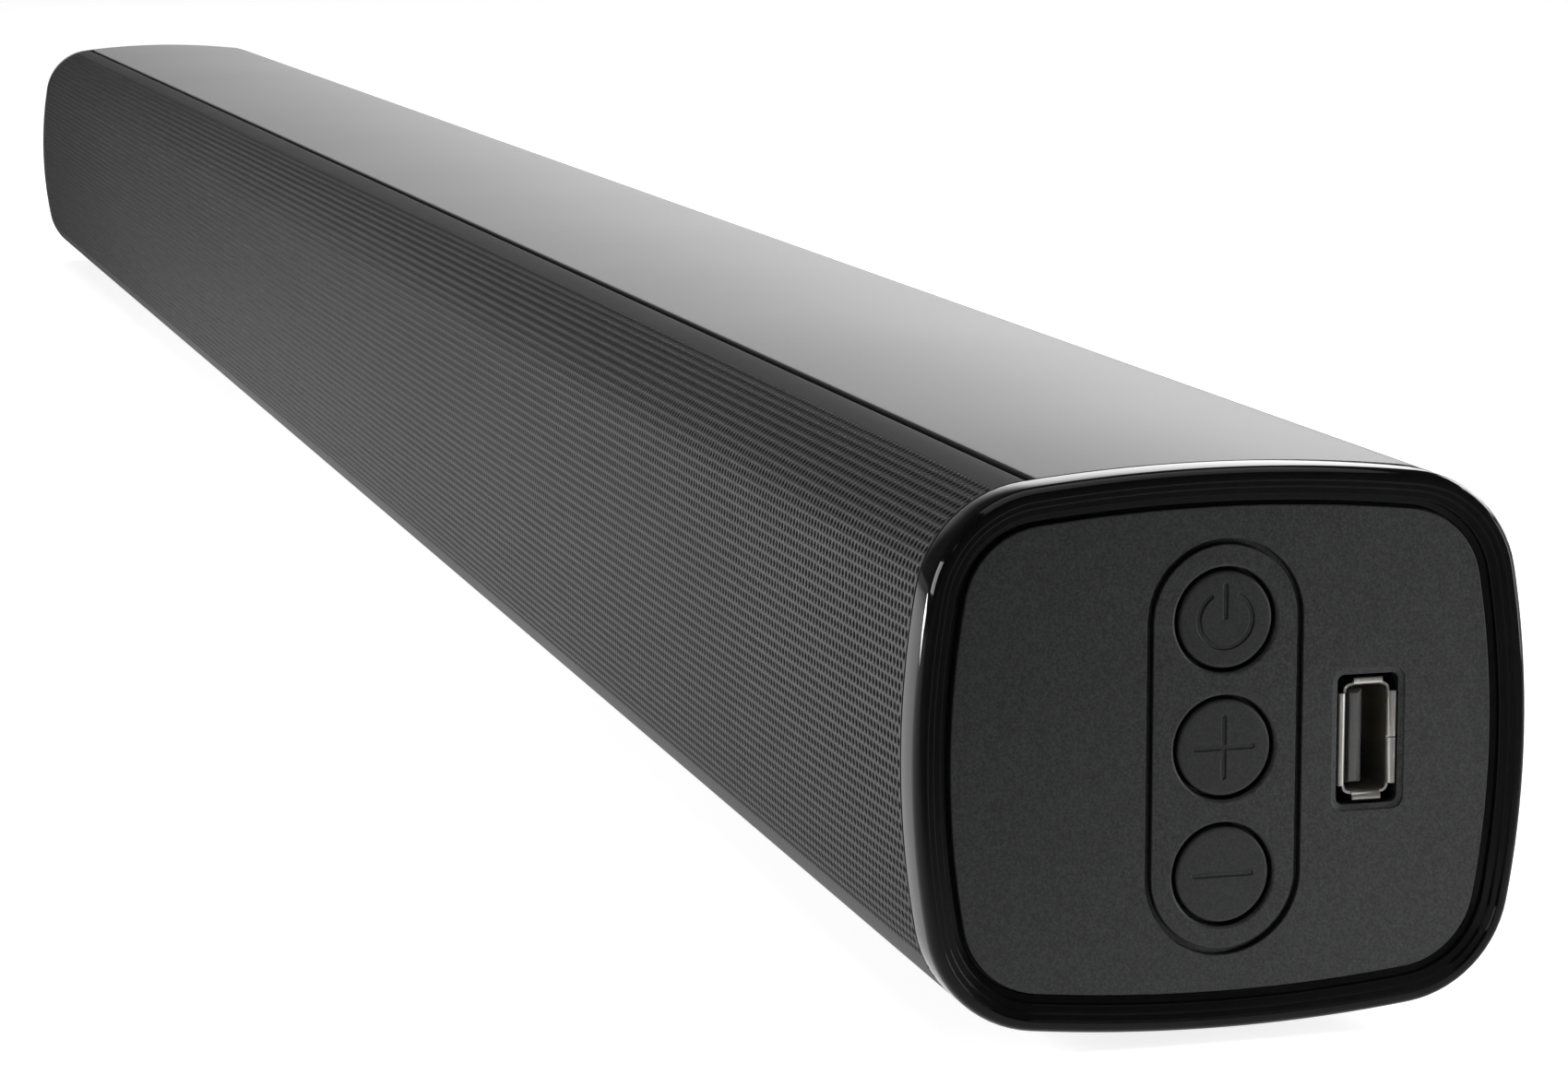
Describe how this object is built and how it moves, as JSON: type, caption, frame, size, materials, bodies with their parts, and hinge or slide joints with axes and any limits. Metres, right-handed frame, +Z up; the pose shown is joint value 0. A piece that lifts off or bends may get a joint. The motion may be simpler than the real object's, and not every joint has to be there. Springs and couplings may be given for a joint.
{
  "type": "soundbar",
  "caption": "Long low loudspeaker bar with a curved perforated grille, gloss end frames, side keys, a USB socket, rear ports and rubber feet.",
  "frame": {"origin": "on the floor under the middle of the bar, midway between the two ends and between front and back", "axes": "+X along the bar towards the end with the keys and the USB socket, -Y towards the grille, +Z up"},
  "size_m": [0.94, 0.075, 0.0675],
  "materials": {
    "housing_plastic": "satin black moulding",
    "grille_paint": "satin charcoal powder coat",
    "dust_cloth": "open black weave",
    "baffle_plastic": "dull black",
    "rim_plastic": "polished black",
    "panel_plastic": "fine grained charcoal",
    "button_plastic": "fine satin charcoal with an engraved sign",
    "switch_metal": "dark stamped cover",
    "plunger_plastic": "dull black",
    "board_laminate": "green solder mask",
    "usb_metal": "bright nickel plate",
    "usb_plastic": "dull black",
    "contact_plate": "gold plate",
    "speaker_frame_steel": "black paint",
    "surround_rubber": "dull",
    "cone_paper": "felted black paper",
    "motor_steel": "zinc and black ferrite",
    "socket_plastic": "dull black",
    "receiver_plastic": "clear dark",
    "port_plastic": "satin black",
    "keyhole_steel": "bright zinc plate",
    "foot_rubber": "dull black",
    "screw_steel": "black zinc",
    "lead_rubber": "dull black"
  },
  "bodies": {
    "cabinet": {"rear_housing": "housing_plastic", "front_grille": "grille_paint", "grille_cloth": "dust_cloth", "front_baffle": "baffle_plastic", "end_rim_left": "rim_plastic", "end_rim_right": "rim_plastic", "end_panel_left": "panel_plastic", "end_panel_right": "panel_plastic", "switch_body_power": "switch_metal", "switch_body_volume_up": "switch_metal", "switch_body_volume_down": "switch_metal", "control_board": "board_laminate", "usb_shell": "usb_metal", "usb_tongue": "usb_plastic", "main_board": "board_laminate", "dc_inlet": "socket_plastic", "aux_socket": "socket_plastic", "optical_socket": "socket_plastic", "sensor_board": "board_laminate", "remote_receiver": "receiver_plastic", "bass_port_left": "port_plastic", "bass_port_right": "port_plastic", "keyhole_plate_left": "keyhole_steel", "keyhole_plate_right": "keyhole_steel", "foot_front_left": "foot_rubber", "foot_front_right": "foot_rubber", "foot_rear_left": "foot_rubber", "foot_rear_right": "foot_rubber", "cap_screw_left_upper": "screw_steel", "cap_screw_left_lower": "screw_steel", "cap_screw_right_upper": "screw_steel", "cap_screw_right_lower": "screw_steel", "control_lead": "lead_rubber", "usb_contact_1": "contact_plate", "usb_contact_2": "contact_plate", "usb_contact_3": "contact_plate", "usb_contact_4": "contact_plate", "speaker_frame_1": "speaker_frame_steel", "speaker_surround_1": "surround_rubber", "speaker_motor_1": "motor_steel", "speaker_frame_2": "speaker_frame_steel", "speaker_surround_2": "surround_rubber", "speaker_motor_2": "motor_steel", "speaker_frame_3": "speaker_frame_steel", "speaker_surround_3": "surround_rubber", "speaker_motor_3": "motor_steel", "speaker_frame_4": "speaker_frame_steel", "speaker_surround_4": "surround_rubber", "speaker_motor_4": "motor_steel"},
    "power_key": {"button_power": "button_plastic", "switch_plunger_power": "plunger_plastic"},
    "volume_up_key": {"button_volume_up": "button_plastic", "switch_plunger_volume_up": "plunger_plastic"},
    "volume_down_key": {"button_volume_down": "button_plastic", "switch_plunger_volume_down": "plunger_plastic"},
    "cone_1": {"speaker_cone_1": "cone_paper"},
    "cone_2": {"speaker_cone_2": "cone_paper"},
    "cone_3": {"speaker_cone_3": "cone_paper"},
    "cone_4": {"speaker_cone_4": "cone_paper"}
  },
  "joints": [
    {"name": "power_press", "type": "slide", "parent": "cabinet", "child": "power_key", "axis": [-1, 0, 0], "range_m": [0, 0.0005], "stiffness_N_per_m": 1500, "springref_m": -0.0003},
    {"name": "volume_up_press", "type": "slide", "parent": "cabinet", "child": "volume_up_key", "axis": [-1, 0, 0], "range_m": [0, 0.0005], "stiffness_N_per_m": 1500, "springref_m": -0.0003},
    {"name": "volume_down_press", "type": "slide", "parent": "cabinet", "child": "volume_down_key", "axis": [-1, 0, 0], "range_m": [0, 0.0005], "stiffness_N_per_m": 1500, "springref_m": -0.0003},
    {"name": "cone_1_stroke", "type": "slide", "parent": "cabinet", "child": "cone_1", "axis": [0, -1, 0], "range_m": [-0.0015, 0.0015], "stiffness_N_per_m": 1200},
    {"name": "cone_2_stroke", "type": "slide", "parent": "cabinet", "child": "cone_2", "axis": [0, -1, 0], "range_m": [-0.0015, 0.0015], "stiffness_N_per_m": 1200},
    {"name": "cone_3_stroke", "type": "slide", "parent": "cabinet", "child": "cone_3", "axis": [0, -1, 0], "range_m": [-0.0015, 0.0015], "stiffness_N_per_m": 1200},
    {"name": "cone_4_stroke", "type": "slide", "parent": "cabinet", "child": "cone_4", "axis": [0, -1, 0], "range_m": [-0.0015, 0.0015], "stiffness_N_per_m": 1200}
  ]
}
